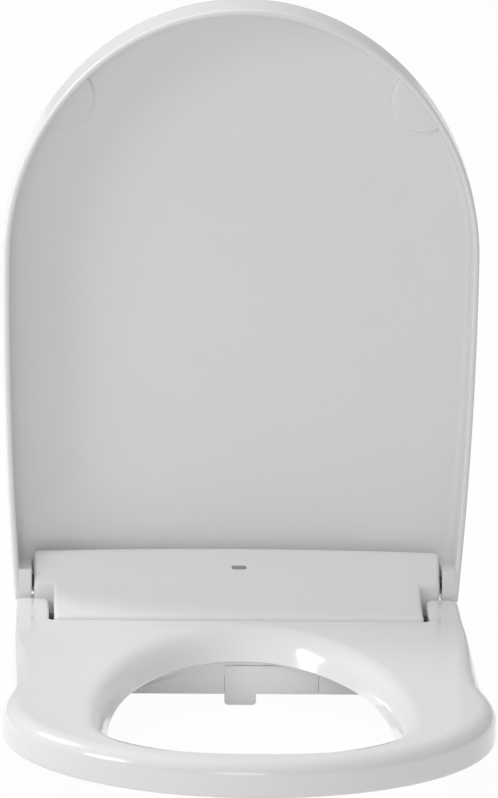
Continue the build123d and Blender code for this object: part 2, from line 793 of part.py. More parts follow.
with BuildPart() as nozzle_flap:
    with BuildSketch(Plane.XZ.offset(pod_front_s)) as flap_plan:
        with BuildLine():
            Polyline(
                (flap_left, flap_axis_z + pod_wall / 2),
                (flap_left, tab_low),
                (tab_half, tab_low),
                (tab_half, pod_low),
                (flap_right, pod_low),
                (flap_right, flap_axis_z + pod_wall / 2),
                close=True,
            )
        make_face()
        fillet(flap_plan.vertices().group_by(Axis.Y)[0], tab_corner)
    extrude(amount=-pod_wall)
    fillet(nozzle_flap.faces().sort_by(Axis.Z)[-1].edges().filter_by(Axis.X), pod_wall / 2 - run_gap)
    for x in (flap_left, flap_right):
        with Locations(Location((x, -flap_axis_s, flap_axis_z), (0, 90, 0))):
            Cylinder(flap_pin_r, 2 * flap_pin_long)
save(nozzle_flap, "nozzle_flap")

# Warm-air dryer: casing, fan and duct
with BuildPart() as dryer_casing:
    with Locations((dryer_x, dryer_y, tray_floor)):
        Cylinder(dryer_r, dryer_top - tray_floor, align=(Align.CENTER, Align.CENTER, Align.MIN))
    neck_low = tray_floor + dryer_wall
    neck_high = duct_top - dryer_wall
    neck_wide = dryer_r / 1.5
    with Locations(((duct_right + dryer_x) / 2, dryer_y, (neck_low + neck_high) / 2)):
        Box(dryer_x - duct_right, neck_wide, neck_high - neck_low)
    with Locations((dryer_x, dryer_y, neck_low)):
        Cylinder(
            dryer_r - dryer_wall,
            dryer_top - dryer_wall - neck_low,
            align=(Align.CENTER, Align.CENTER, Align.MIN),
            mode=Mode.SUBTRACT,
        )
    with Locations(((duct_right + dryer_x) / 2, dryer_y, (neck_low + neck_high) / 2)):
        Box(
            dryer_x - duct_right,
            neck_wide - 2 * dryer_wall,
            neck_high - neck_low - 2 * dryer_wall,
            mode=Mode.SUBTRACT,
        )
    with Locations((dryer_x, dryer_y, dryer_top)):
        Cylinder(dryer_eye_r, 4 * dryer_wall, mode=Mode.SUBTRACT)
    with Locations((dryer_x, dryer_y, tray_floor)):
        Cylinder(fan_shaft_r + run_gap, 4 * dryer_wall, mode=Mode.SUBTRACT)
save(dryer_casing, "dryer_casing")

fan_low = neck_low + dryer_wall
fan_high = dryer_top - 2 * dryer_wall
with BuildPart() as dryer_impeller:
    with Locations((dryer_x, dryer_y, tray_floor + slide_gap)):
        Cylinder(fan_shaft_r, fan_low - tray_floor, align=(Align.CENTER, Align.CENTER, Align.MIN))
    with Locations((dryer_x, dryer_y, fan_low)):
        Cylinder(fan_r, dryer_wall, align=(Align.CENTER, Align.CENTER, Align.MIN))
        Cylinder(fan_hub_r, fan_high - fan_low, align=(Align.CENTER, Align.CENTER, Align.MIN))
    with BuildSketch(Plane.XY.offset(fan_low)):
        with Locations((dryer_x, dryer_y)):
            with PolarLocations((fan_hub_r + fan_r) / 2, fan_blades):
                Rectangle(fan_r - fan_hub_r + 1, fan_blade_thick, rotation=35)
    extrude(amount=fan_high - fan_low)
save(dryer_impeller, "dryer_impeller")


def duct_profile(wall):
    # side view of the duct: tall at the fan, low under the cover's front, level at its mouth
    ahead = wall / 2
    notch_rear = duct_bend_y + duct_notch_run - slide_gap
    with BuildLine() as line:
        Polyline(
            (duct_rear_y - wall, tray_floor + wall),
            (duct_rear_y - wall, duct_top - wall),
            (duct_bend_y + ahead, duct_top - wall),
            (duct_low_y + ahead, duct_low_z - wall),
            (-duct_mouth_s - ahead, duct_mouth_top - wall),
            (-duct_mouth_s - ahead, duct_mouth_low + wall),
            (duct_low_y - ahead, tray_lift + wall),
            (notch_rear - wall, tray_lift + wall),
            (notch_rear - wall, tray_floor + wall),
            close=True,
        )
    return line.line


with BuildPart() as dryer_duct:
    with BuildSketch(Plane.YZ.offset(duct_left)):
        add(duct_profile(0))
        make_face()
    extrude(amount=duct_right - duct_left)
    with BuildSketch(Plane.YZ.offset(duct_left + duct_wall)):
        add(duct_profile(duct_wall))
        make_face()
    extrude(amount=duct_right - duct_left - 2 * duct_wall, mode=Mode.SUBTRACT)
    with Locations((duct_right, dryer_y, (neck_low + neck_high) / 2)):
        Box(
            4 * duct_wall,
            neck_wide - 2 * dryer_wall,
            neck_high - neck_low - 2 * dryer_wall,
            mode=Mode.SUBTRACT,
        )
save(dryer_duct, "dryer_duct")

# Water heater, valve, inlet, board and gland
with BuildPart() as water_heater:
    with Locations((heater_x, heater_y, tray_floor)):
        Box(*heater_box, align=(Align.CENTER, Align.CENTER, Align.MIN))
    fillet(water_heater.edges().filter_by(Axis.Z), port_r)
    heater_rear = heater_y + heater_box[1] / 2
    for side in (-1, 1):
        with Locations(Location(
            (heater_x + side * heater_box[0] / 4, heater_rear, tray_floor + heater_box[2] / 2), (-90, 0, 0)
        )):
            Cylinder(port_r, port_long, align=(Align.CENTER, Align.CENTER, Align.MIN))
save(water_heater, "water_heater")

with BuildPart() as circuit_board:
    with Locations((board_x, board_y, board_z)):
        Box(board_long, board_wide, board_thick, align=(Align.CENTER, Align.CENTER, Align.MIN))
    with Locations((board_x - board_long / 4, board_y, board_z + board_thick)):
        Box(board_wide / 2, board_wide / 2, post_r, align=(Align.CENTER, Align.CENTER, Align.MIN))
    with Locations((board_x + board_long / 4, board_y, board_z + board_thick)):
        Cylinder(board_wide / 4, 2 * post_r, align=(Align.CENTER, Align.CENTER, Align.MIN))
save(circuit_board, "circuit_board")

valve_y = tray_rear_y - rear_box_wall - valve_deep / 2
with BuildPart() as solenoid_valve:
    with Locations((valve_x, valve_y, tray_floor)):
        Box(valve_long, valve_deep, valve_high, align=(Align.CENTER, Align.CENTER, Align.MIN))
    with Locations((valve_x + valve_long / 4, valve_y, tray_floor + valve_high)):
        Cylinder(coil_r, coil_high, align=(Align.CENTER, Align.CENTER, Align.MIN))
save(solenoid_valve, "solenoid_valve")

valve_left = valve_x - valve_long / 2
with BuildPart() as water_inlet:
    with Locations(Location((valve_left, inlet_y, inlet_z), (0, -90, 0))):
        Cylinder(inlet_stem_r, valve_left + side_wall_x, align=(Align.CENTER, Align.CENTER, Align.MIN))
    with Locations(Location((-side_wall_x, inlet_y, inlet_z), (0, -90, 0))):
        Cylinder(spigot_r, spigot_long, align=(Align.CENTER, Align.CENTER, Align.MIN))
save(water_inlet, "water_inlet")

with BuildPart() as cable_gland:
    with Locations(Location((gland_x, tray_rear_y, gland_z), (-90, 0, 0))):
        Cylinder(gland_flange_r, gland_flange_thick, align=(Align.CENTER, Align.CENTER, Align.MIN))
        Cylinder(gland_r, gland_bore_depth, align=(Align.CENTER, Align.CENTER, Align.MAX))
    fillet(cable_gland.faces().sort_by(Axis.Y)[-1].edges(), gland_round)
    with Locations(Location((gland_x, tray_rear_y + gland_flange_thick, gland_z), (-90, 0, 0))):
        Cylinder(
            gland_bore_r,
            gland_bore_depth,
            align=(Align.CENTER, Align.CENTER, Align.MAX),
            mode=Mode.SUBTRACT,
        )
save(cable_gland, "cable_gland")

# Release button in the right wall of the rear box
button_seat_x = side_wall_x - rear_box_wall - slide_gap
with BuildPart() as release_button:
    with BuildSketch(Plane.YZ.offset(button_seat_x - button_flange_thick)):
        with Locations((button_y, button_z)):
            RectangleRounded(button_wide, button_high, button_corner)
    extrude(amount=side_wall_x + button_proud - button_seat_x + button_flange_thick)
    fillet(release_button.faces().sort_by(Axis.X)[-1].edges(), button_round)
    with BuildSketch(Plane.YZ.offset(button_seat_x - button_flange_thick)):
        with Locations((button_y, button_z)):
            RectangleRounded(button_wide + 2 * button_flange, button_high + 2 * button_flange, button_corner)
    extrude(amount=button_flange_thick)
save(release_button, "release_button")
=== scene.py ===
import math
import bmesh
import bpy
import numpy as np
from mathutils import Matrix, Vector


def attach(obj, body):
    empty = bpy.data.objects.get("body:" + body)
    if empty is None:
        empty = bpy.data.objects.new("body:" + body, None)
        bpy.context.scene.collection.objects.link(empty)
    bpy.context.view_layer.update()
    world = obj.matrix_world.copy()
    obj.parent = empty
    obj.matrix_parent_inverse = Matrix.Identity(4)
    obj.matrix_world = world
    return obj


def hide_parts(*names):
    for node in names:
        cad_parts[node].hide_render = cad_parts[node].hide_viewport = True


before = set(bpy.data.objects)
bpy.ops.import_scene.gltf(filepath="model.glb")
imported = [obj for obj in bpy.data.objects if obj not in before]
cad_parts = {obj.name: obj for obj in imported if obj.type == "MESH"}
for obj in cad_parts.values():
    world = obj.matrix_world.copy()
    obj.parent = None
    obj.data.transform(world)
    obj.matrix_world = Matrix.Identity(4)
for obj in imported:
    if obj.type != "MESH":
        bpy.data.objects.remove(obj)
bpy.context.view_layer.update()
mm = 0.001  # every size below is in millimetres

print("stage 1: materials")

# noise of the shared plastic skin: scale per metre and detail of its clouds, its smears and its fine grain
skinValues = dict(
    cloudScale=14.0, cloudDetail=3.0, smearScale=55.0, smearDetail=4.0, grainDetail=2.0, middle=0.5,
)


def newGroup(name, inputs, outputs):
    # an empty shader group with float or colour sockets
    group = bpy.data.node_groups.new(name, "ShaderNodeTree")
    for label, kind, value in inputs:
        socket = group.interface.new_socket(label, in_out="INPUT", socket_type=kind)
        socket.default_value = value
    for label, kind in outputs:
        group.interface.new_socket(label, in_out="OUTPUT", socket_type=kind)
    return group, group.nodes.new("NodeGroupInput"), group.nodes.new("NodeGroupOutput")


def addNode(tree, kind, links=None, **values):
    # one node, its settings and the links into it
    node = tree.nodes.new(kind)
    for key, value in values.items():
        setattr(node, key, value)
    for socket, source in (links or {}).items():
        if hasattr(source, "is_output"):
            tree.links.new(source, node.inputs[socket])
        else:
            node.inputs[socket].default_value = source
    return node


def makeMouldSkin(v):
    # moulded plastic: faint cloudy tone, uneven gloss and the orange-peel ripple of a tool's surface
    floatKind, colorKind = "NodeSocketFloat", "NodeSocketColor"
    group, source, result = newGroup(
        "mouldSkin",
        [("Tone", colorKind, (0.8, 0.8, 0.8, 1)), ("Cloud", floatKind, 0.03), ("Gloss", floatKind, 0.2),
         ("Uneven", floatKind, 0.06), ("Grain", floatKind, 900.0)],
        [("Color", colorKind), ("Roughness", floatKind), ("Height", floatKind)],
    )
    point = addNode(group, "ShaderNodeTexCoord").outputs["Object"]
    cloud = addNode(group, "ShaderNodeTexNoise",
                    {"Vector": point, "Scale": v["cloudScale"], "Detail": v["cloudDetail"]})
    smear = addNode(group, "ShaderNodeTexNoise",
                    {"Vector": point, "Scale": v["smearScale"], "Detail": v["smearDetail"]})
    grain = addNode(group, "ShaderNodeTexNoise",
                    {"Vector": point, "Scale": source.outputs["Grain"], "Detail": v["grainDetail"]})
    lift = addNode(group, "ShaderNodeMath", {0: cloud.outputs[0], 1: v["middle"]}, operation="SUBTRACT")
    swing = addNode(group, "ShaderNodeMath", {0: lift.outputs[0], 1: source.outputs["Cloud"]},
                    operation="MULTIPLY")
    shade = addNode(group, "ShaderNodeMath", {0: swing.outputs[0], 1: 1.0}, operation="ADD")
    tint = addNode(group, "ShaderNodeVectorMath",
                   {0: source.outputs["Tone"], "Scale": shade.outputs[0]}, operation="SCALE")
    rub = addNode(group, "ShaderNodeMath", {0: smear.outputs[0], 1: v["middle"]}, operation="SUBTRACT")
    gloss = addNode(group, "ShaderNodeMath",
                    {0: rub.outputs[0], 1: source.outputs["Uneven"], 2: source.outputs["Gloss"]},
                    operation="MULTIPLY_ADD")
    group.links.new(tint.outputs[0], result.inputs["Color"])
    group.links.new(gloss.outputs[0], result.inputs["Roughness"])
    group.links.new(grain.outputs[0], result.inputs["Height"])
    return group


mouldSkin = makeMouldSkin(skinValues)

# each finish: tone, cloudiness, roughness, its unevenness, scale and depth of the ripple, clear coat, metal
finishes = {
    "lidWhite": dict(tone=(0.80, 0.80, 0.795), cloud=0.02, gloss=0.24, uneven=0.015, grain=700,
                     depth=0.02, coat=0.3),
    "seatWhite": dict(tone=(0.83, 0.83, 0.825), cloud=0.02, gloss=0.16, uneven=0.015, grain=600,
                      depth=0.015, coat=0.4),
    # the cover's white is raised a little above the seat's as painted light against the lid's shadow on the
    # cover
    "coverWhiteWithPaintedLight": dict(tone=(0.86, 0.86, 0.85), cloud=0.02, gloss=0.4, uneven=0.015, grain=800, depth=0.03),
    # pod and flap: pale plastic whose tone is raised above the seat's white as painted light for the shade
    # under the seat
    "podPaleWithPaintedLight": dict(tone=(0.9, 0.9, 0.9), cloud=0.05, gloss=0.42, uneven=0.1, grain=1500, depth=0.08),
    "trayWhite": dict(tone=(0.66, 0.66, 0.65), cloud=0.05, gloss=0.45, uneven=0.1, grain=1600, depth=0.1),
    "padRubber": dict(tone=(0.55, 0.55, 0.54), cloud=0.08, gloss=0.62, uneven=0.1, grain=2200, depth=0.15),
    "smokeLens": dict(tone=(0.32, 0.32, 0.33), cloud=0.05, gloss=0.12, uneven=0.03, grain=500,
                      depth=0.01, coat=0.5),
    # black for the hidden inner parts; on the hinge pins it is painted shade for the dark slit between ear
    # and housing
    "blackInnerAndSlitShade": dict(tone=(0.06, 0.06, 0.065), cloud=0.1, gloss=0.5, uneven=0.1, grain=1500, depth=0.1),
    "boardGreen": dict(tone=(0.03, 0.16, 0.08), cloud=0.1, gloss=0.4, uneven=0.1, grain=1800, depth=0.1),
    "pinSteel": dict(tone=(0.58, 0.58, 0.59), cloud=0.06, gloss=0.3, uneven=0.12, grain=2500,
                     depth=0.05, metal=1.0),
    "heatFoil": dict(tone=(0.75, 0.75, 0.75), cloud=0.06, gloss=0.25, uneven=0.1, grain=900,
                     depth=0.05, metal=1.0),
    "inletNickel": dict(tone=(0.66, 0.65, 0.63), cloud=0.1, gloss=0.3, uneven=0.12, grain=2000,
                        depth=0.05, metal=1.0),
    "nozzlePale": dict(tone=(0.74, 0.76, 0.78), cloud=0.03, gloss=0.2, uneven=0.05, grain=900,
                       depth=0.02, coat=0.3),
    "buttonGrey": dict(tone=(0.36, 0.37, 0.38), cloud=0.05, gloss=0.4, uneven=0.1, grain=1500, depth=0.08),
}
rippleDistance = 0.00005  # metres of bump height at depth 1
coatRoughness = 0.08


def makeFinish(name, look):
    # a moulded or turned surface: the shared skin feeds colour, gloss and a fine bump
    material = bpy.data.materials.new(name)
    material.use_nodes = True
    tree = material.node_tree
    shader = tree.nodes["Principled BSDF"]
    skin = addNode(tree, "ShaderNodeGroup", node_tree=mouldSkin)
    skin.inputs["Tone"].default_value = (*look["tone"], 1)
    for label, key in (("Cloud", "cloud"), ("Gloss", "gloss"), ("Uneven", "uneven"), ("Grain", "grain")):
        skin.inputs[label].default_value = look[key]
    bump = addNode(tree, "ShaderNodeBump",
                   {"Height": skin.outputs["Height"], "Strength": look["depth"], "Distance": rippleDistance})
    tree.links.new(skin.outputs["Color"], shader.inputs["Base Color"])
    tree.links.new(skin.outputs["Roughness"], shader.inputs["Roughness"])
    tree.links.new(bump.outputs[0], shader.inputs["Normal"])
    shader.inputs["Metallic"].default_value = look.get("metal", 0.0)
    shader.inputs["Coat Weight"].default_value = look.get("coat", 0.0)
    shader.inputs["Coat Roughness"].default_value = coatRoughness
    return material


materials = {name: makeFinish(name, look) for name, look in finishes.items()}

print("stage 2: mesh tools")

weldDistance = 1e-6  # metres between points that become one
flatTolerance = 0.01  # how far from its plane the rim of a flat gap may lie


def gridFaces(rows, columns, closed=False):
    # quads between neighbouring rows and columns of a grid of points
    row = np.arange(rows - 1)[:, None]
    column = np.arange(columns if closed else columns - 1)[None, :]
    after = (column + 1) % columns
    corners = [row * columns + column, row * columns + after,
               (row + 1) * columns + after, (row + 1) * columns + column]
    shape = (rows - 1, column.shape[1])
    return np.stack([np.broadcast_to(c, shape) for c in corners], axis=-1).reshape(-1, 4)


def endLoops(rows, columns, offset=0):
    # point numbers of a grid's first and last ring, each closed by one face
    first = np.arange(columns) + offset
    return [first, first + (rows - 1) * columns]


def buildMesh(name, parts, loops=(), flats=(), weld=weldDistance):
    # joins grids of (points, faces) and flat loops, welds their seams and fills the open rims at each flat
    mesh = bpy.data.meshes.new(name)
    offset, points, faces = 0, [], [loop.tolist() for loop in loops]
    for verts, quads in parts:
        points.append(verts.reshape(-1, 3))
        faces.extend((quads + offset).tolist())
        offset += len(points[-1])
    mesh.from_pydata((np.concatenate(points) * mm).tolist(), [], faces)
    work = bmesh.new()
    work.from_mesh(mesh)
    bmesh.ops.remove_doubles(work, verts=work.verts, dist=weld)
    bmesh.ops.dissolve_degenerate(work, edges=work.edges, dist=weld)
    for height in flats:
        rim = [e for e in work.edges
               if e.is_boundary and all(abs(v.co.z / mm - height) < flatTolerance for v in e.verts)]
        bmesh.ops.triangle_fill(work, edges=rim, use_beauty=True)
    bmesh.ops.recalc_face_normals(work, faces=work.faces)
    openEdges = sum(e.is_boundary for e in work.edges)
    work.to_mesh(mesh)
    work.free()
    print("  ", name, len(mesh.polygons), "faces,", openEdges, "open edges")
    return mesh


def addPiece(name, mesh, material, body, stands=(), sharpAngle=35):
    # a finished piece at the origin, smooth but for its sharp edges, riding on its body
    piece = bpy.data.objects.new(name, mesh)
    bpy.context.scene.collection.objects.link(piece)
    mesh.materials.clear()
    mesh.materials.append(materials[material])
    mesh.polygons.foreach_set("use_smooth", np.ones(len(mesh.polygons), dtype=bool))
    mesh.set_sharp_from_angle(angle=math.radians(sharpAngle))
    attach(piece, body)
    if stands:
        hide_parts(*stands)
    return piece


def resample(path, step):
    # the same line with points at even steps along its length
    along = np.concatenate([[0], np.cumsum(np.hypot(*np.diff(path, axis=0).T))])
    even = np.linspace(0, along[-1], max(2, int(along[-1] / step) + 1))
    return np.column_stack([np.interp(even, along, path[:, k]) for k in (0, 1)])


def arcPoints(centre, radius, fromDeg, toDeg, count=24):
    # points on an arc or an ellipse: centre plus radii times cosine and sine
    turn = np.radians(np.linspace(fromDeg, toDeg, count))
    radii = np.broadcast_to(radius, 2)
    return np.column_stack([centre[0] + radii[0] * np.cos(turn), centre[1] + radii[1] * np.sin(turn)])


def fullTurn(count):
    # even angles once round, without the last, which is the first again
    return np.radians(np.linspace(0, 360, count + 1)[:-1])


def quarterTurn(count):
    # even angles from 0 to 90 degrees
    return np.radians(np.linspace(0, 90, count))


def inwardNormals(path):
    # unit normals on the right of the line's direction, which is the material's side
    slope = np.gradient(path, axis=0)
    slope /= np.linalg.norm(slope, axis=1)[:, None]
    return np.column_stack([slope[:, 1], -slope[:, 0]])


def ringNormals(ring):
    # the same for a closed ring, whose ends are neighbours
    return inwardNormals(np.concatenate([ring[-1:], ring, ring[:1]]))[1:-1]


def mirrored(path):
    # the right half followed by the left half, without the shared middle point
    left = path[::-1] * (-1, 1)
    return np.concatenate([path, left[1:]])


def pullInside(across, up, centre, radius):
    # rounds a corner: points past a quarter circle are drawn back onto it
    da, db = across - centre[0], up - centre[1]
    reach = np.hypot(da, db)
    past = (da * np.sign(radius[0]) > 0) & (db * np.sign(radius[1]) > 0) & (reach > abs(radius[0]))
    scale = np.where(past, abs(radius[0]) / np.maximum(reach, 1e-9), 1.0)
    return centre[0] + da * scale, centre[1] + db * scale


def smoothStep(value, low, high):
    # 0 below low, 1 above high, and between them three squares less two cubes of the share
    t = np.clip((value - low) / (high - low), 0, 1)
    return t * t * (3 - 2 * t)


def atHeight(ring, height):
    # a flat ring of x and y set at one height
    return np.concatenate([ring, np.full((len(ring), 1), height)], axis=1)


print("stage 3: lid")

# lengths s run from the hinge line to the lid's tip, heights h are over that line when the lid is closed
lidValues = dict(
    axisZ=50, lean=2, halfWidth=187.5, wideAt=263, tipAt=461.6, rearHalf=176, rearAt=-16,
    lip=-11, panel=29, back=33, wall=4.5, innerRound=6, lipRound=2.0, backRound=9,
    growSide=1.5, growTip=4.5, step=3.0, flatMargin=2.0, rearCorner=9,
    sidePoints=60, nosePoints=160, roundSteps=9, lipSteps=11, wallSteps=3, lipGap=3, backGap=2,
)


def lidPath(v):
    # right edge of the lid: a shallow arc up the side, then a quarter ellipse to the tip
    t = np.linspace(0, 1, v["sidePoints"])
    bow = v["halfWidth"] - v["rearHalf"]
    side = np.column_stack([v["rearHalf"] + bow * (1 - (1 - t) ** 2),
                            v["rearAt"] + (v["wideAt"] - v["rearAt"]) * t])
    nose = arcPoints((0, v["wideAt"]), (v["halfWidth"], v["tipAt"] - v["wideAt"]), 0, 90, v["nosePoints"])
    return resample(np.concatenate([side, nose[1:]]), v["step"])


def lidWorld(x, s, h, v):
    # from lid lengths s and heights h to the open lid's place: turned about the hinge line
    lean = math.radians(v["lean"])
    y = h * math.cos(lean) + s * math.sin(lean)
    z = v["axisZ"] - h * math.sin(lean) + s * math.cos(lean)
    return np.stack([x, y, z], axis=-1)


def lidSection(v):
    # inset and height along the rim's section: panel edge, inner wall, rolled lip, outer wall, back edge
    quarter = quarterTurn(v["roundSteps"])
    half = np.radians(np.linspace(0, 180, v["lipSteps"]))
    steps = v["wallSteps"]
    inner, lip, back = v["innerRound"], v["wall"] / 2, v["backRound"]
    lipTop = v["lip"] + v["lipRound"]
    inset = np.concatenate([
        [v["wall"] + inner + v["flatMargin"]], v["wall"] + inner * (1 - np.sin(quarter)),
        np.full(steps, v["wall"]), lip + lip * np.cos(half), np.zeros(steps),
        back * (1 - np.cos(quarter)), [back + v["flatMargin"]],
    ])
    height = np.concatenate([
        [v["panel"]], v["panel"] - inner * (1 - np.cos(quarter)),
        np.linspace(v["panel"] - inner - v["lipGap"], lipTop + v["lipGap"], steps),
        v["lip"] + v["lipRound"] * (1 - np.sin(half)),
        np.linspace(lipTop + v["lipGap"], v["back"] - back - v["backGap"], steps),
        v["back"] - back * (1 - np.sin(quarter)), [v["back"]],
    ])
    # the outside begins past the middle of the lip
    outer = np.arange(len(inset)) > len(quarter) + 1 + steps + len(half) // 2
    return inset, height, outer


def makeLid(v):
    # the rim's section carried round the D-shaped path, its outside growing towards the back
    right = lidPath(v)
    path = mirrored(right)
    normal = -inwardNormals(path)
    normal[len(right) - 1] = (0, -1)
    inset, height, outer = lidSection(v)
    rake = np.clip((height - v["lip"]) / (v["back"] - v["lip"]), 0, 1)
    grow = v["growSide"] + (v["growTip"] - v["growSide"]) * normal[:, 1] ** 2
    depth = inset[None, :] - np.where(outer, rake, 0)[None, :] * grow[:, None]
    x = path[:, 0, None] + normal[:, 0, None] * depth
    s = path[:, 1, None] + normal[:, 1, None] * depth
    s[0], s[-1] = v["rearAt"], v["rearAt"]
    h = np.broadcast_to(height, x.shape)
    corner = v["rearCorner"]
    s, h = pullInside(s, h, (v["rearAt"] + corner, v["lip"] + corner), (-corner, -corner))
    grid = lidWorld(x, s, h, v)
    rows, columns = grid.shape[:2]
    order = np.arange(rows * columns).reshape(rows, columns)
    # the two flat panels, the two cut ends of the rim and the strip along the hinge edge close the shell
    strip = np.array([order[0, 0], order[0, -1], order[-1, -1], order[-1, 0]])
    ends = [order[:, 0], order[:, -1], order[0], order[-1], strip]
    return buildMesh("lidSkin", [(grid, gridFaces(rows, columns))], ends)


addPiece("lid_skin", makeLid(lidValues), "lidWhite", "lid", ["lid_shell"])

earValues = dict(
    inner=163.5, outer=174.0, rear=-16, front=11.4, low=-11, high=29.0, corner=9, small=1.5, edge=1.0,
    cornerSteps=12, smallSteps=6,
)


def makeEars(v, lid):
    # a rounded block between hinge line and side wall: its outline in s and h carried along x
    corner, small = v["corner"], v["small"]
    outline = np.concatenate([
        arcPoints((v["rear"] + corner, v["low"] + corner), corner, 180, 270, v["cornerSteps"]),
        arcPoints((v["front"] - small, v["low"] + small), small, 270, 360, v["smallSteps"]),
        arcPoints((v["front"] - small, v["high"] - small), small, 0, 90, v["smallSteps"]),
        [(v["rear"], v["high"])],
    ])
    middle = outline.mean(axis=0)
    shrink = 1 - v["edge"] / np.linalg.norm(outline - middle, axis=1)[:, None]
    rings = np.stack([middle + (outline - middle) * shrink, outline, outline])
    places = np.array([v["inner"], v["inner"] + v["edge"], v["outer"]])
    rows, columns = rings.shape[:2]
    parts, loops = [], []
    for side in (-1, 1):
        loops += endLoops(rows, columns, len(parts) * rows * columns)
        x = np.broadcast_to(side * places[:, None], (rows, columns))
        grid = lidWorld(x, rings[..., 0], rings[..., 1], lid)
        parts.append((grid, gridFaces(rows, columns, closed=True)))
    return buildMesh("lidEars", parts, loops)


addPiece("lid_ears", makeEars(earValues, lidValues), "lidWhite", "lid")

padValues = dict(
    centreX=143, centreS=385, radius=25.5, rise=3.0, soft=1.2, sink=0.4, wallGap=0.4,
    points=96, softSteps=6,
)


def makeLidPads(v, lid):
    # low discs on the lid's panel: rings from foot to rounded rim, kept inside the lid's inner wall
    turn = fullTurn(v["points"])
    bend = quarterTurn(v["softSteps"])
    radius = np.concatenate([[v["radius"]], v["radius"] - v["soft"] * (1 - np.cos(bend))])
    rise = np.concatenate([[-v["sink"]], v["rise"] - v["soft"] * (1 - np.sin(bend))])
    roomX = lid["halfWidth"] - lid["wall"] - v["wallGap"]
    roomS = lid["tipAt"] - lid["wideAt"] - lid["wall"] - v["wallGap"]
    x = v["centreX"] + radius[:, None] * np.cos(turn)
    s = v["centreS"] + radius[:, None] * np.sin(turn) - lid["wideAt"]
    draw = 1 / np.maximum(np.hypot(x / roomX, s / roomS), 1)
    x, s = x * draw, lid["wideAt"] + s * draw
    h = np.broadcast_to((lid["panel"] - rise)[:, None], x.shape)
    rows, columns = x.shape
    parts, loops = [], []
    for side in (-1, 1):
        loops += endLoops(rows, columns, len(parts) * rows * columns)
        parts.append((lidWorld(side * x, s, h, lid), gridFaces(rows, columns, closed=True)))
    return buildMesh("lidPadDiscs", parts, loops)


addPiece("lid_pad_discs", makeLidPads(padValues, lidValues), "lidWhite", "lid", ["lid_pads"])

print("stage 4: seat")

# distances ahead of the hinge line are positive, as are half widths
seatValues = dict(
    top=36, low=5, deck=17, under=13.6, armIn=150, armOut=175.6, armRear=13, rear=65.5, flankAt=222,
    flankHalf=180, halfWidth=187, wideAt=285, tipAt=446.5, armCorner=7, rootCorner=6, skirt=6, lowRound=3.5,
    margin=1.6, roundRear=2.6, roundFront=13.0, roundFrom=90, roundTo=200, pivotY=-37, pivotZ=28,
    pivotRadius=23.5, bareHalf=143, wallShares=(0.35, 0.7), tilt=0.008, tiltFrom=75, armLift=3.5,
    liftFrom=60, step=2.5, flarePoints=40, tipPoints=160, roundSteps=13,
)
holeValues = dict(
    split=330, squareness=2.5, topHalf=115, topRear=86, topFront=414, lowHalf=108.5, lowRear=110,
    lowFront=406, lip=13.0, lipRear=12.0, lipFrom=90, lipTo=190, toe=1.5, knee=0.72,
    points=360, scoopSteps=15,
)


def seatPath(v):
    # right edge from the rear middle: notch, hinge arm, straight flank, flare and front ellipse
    rear, armIn, armOut, back = -v["rear"], v["armIn"], v["armOut"], -v["armRear"]
    root, tip = v["rootCorner"], v["armCorner"]
    t = np.linspace(0, 1, v["flarePoints"])[:, None]
    start, end = np.array([v["flankHalf"], -v["flankAt"]]), np.array([v["halfWidth"], -v["wideAt"]])
    span = np.linalg.norm(end - start)
    lean = np.array([v["flankHalf"] - armOut, v["armRear"] - v["flankAt"]])
    lean, down = lean / np.linalg.norm(lean) * span, np.array([0, -span])
    # cubic from the flank's end to the widest place: it leaves along the flank and arrives straight ahead
    flare = ((2 * t**3 - 3 * t**2 + 1) * start + (t**3 - 2 * t**2 + t) * lean
             + (3 * t**2 - 2 * t**3) * end + (t**3 - t**2) * down)
    front = arcPoints((0, -v["wideAt"]), (v["halfWidth"], v["tipAt"] - v["wideAt"]), 0, -90, v["tipPoints"])
    return resample(np.concatenate([
        [(0, rear)],
        arcPoints((armIn - root, rear + root), root, -90, 0),
        arcPoints((armIn + tip, back - tip), tip, 180, 90),
        arcPoints((armOut - tip, back - tip), tip, 90, 0),
        flare,
        front[1:],
    ]), v["step"])


def seatRim(v):
    # outer section carried round the path: flat margin, rounded top edge, wall, rounded lower edge, skirt
    path = mirrored(seatPath(v))[:-1]
    normal = ringNormals(path)
    ahead = -path[:, 1]
    bend = quarterTurn(v["roundSteps"])[:, None]
    frontness = smoothStep(ahead, v["roundFrom"], v["roundTo"])
    radius = v["roundRear"] + (v["roundFront"] - v["roundRear"]) * frontness
    bare = 1 - smoothStep(np.abs(path[:, 0]), v["bareHalf"], v["armIn"])
    floor = v["low"] + (v["under"] - v["low"]) * bare * (ahead < v["rear"] + v["skirt"])
    foot = floor + v["lowRound"]
    one = np.ones((1, len(path)))
    share = np.array(v["wallShares"])[:, None]
    lowBend = bend[::3]
    inset = np.concatenate([
        one * (radius + v["margin"]), radius * (1 - np.sin(bend)), share * 0 * one,
        v["lowRound"] * (1 - np.cos(lowBend)) * one, v["skirt"] * one, v["skirt"] * one,
    ])
    height = np.concatenate([
        v["top"] * one, v["top"] - radius * (1 - np.cos(bend)),
        (v["top"] - radius) * (1 - share) + foot * share,
        foot - v["lowRound"] * np.sin(lowBend), floor * one, v["deck"] * one,
    ])
    x = path[:, 0] + normal[:, 0] * inset
    y = path[:, 1] + normal[:, 1] * inset
    y, height = pullInside(y, height, (v["pivotY"], v["pivotZ"]), (v["pivotRadius"], -v["pivotRadius"]))
    return np.stack([x, y, height], axis=-1)


def holeRing(v, half, rear, front):
    # a half ellipse behind the widest place, and a squarer half ahead of it: sine and cosine take a power
    turn = fullTurn(v["points"])
    ahead = np.sin(turn) < 0
    reach = np.where(ahead, front - v["split"], v["split"] - rear)
    power = np.where(ahead, 2 / v["squareness"], 1.0)
    across = np.sign(np.cos(turn)) * np.abs(np.cos(turn)) ** power
    along = np.sign(np.sin(turn)) * np.abs(np.sin(turn)) ** power
    return np.column_stack([half * across, -v["split"] + reach * along])


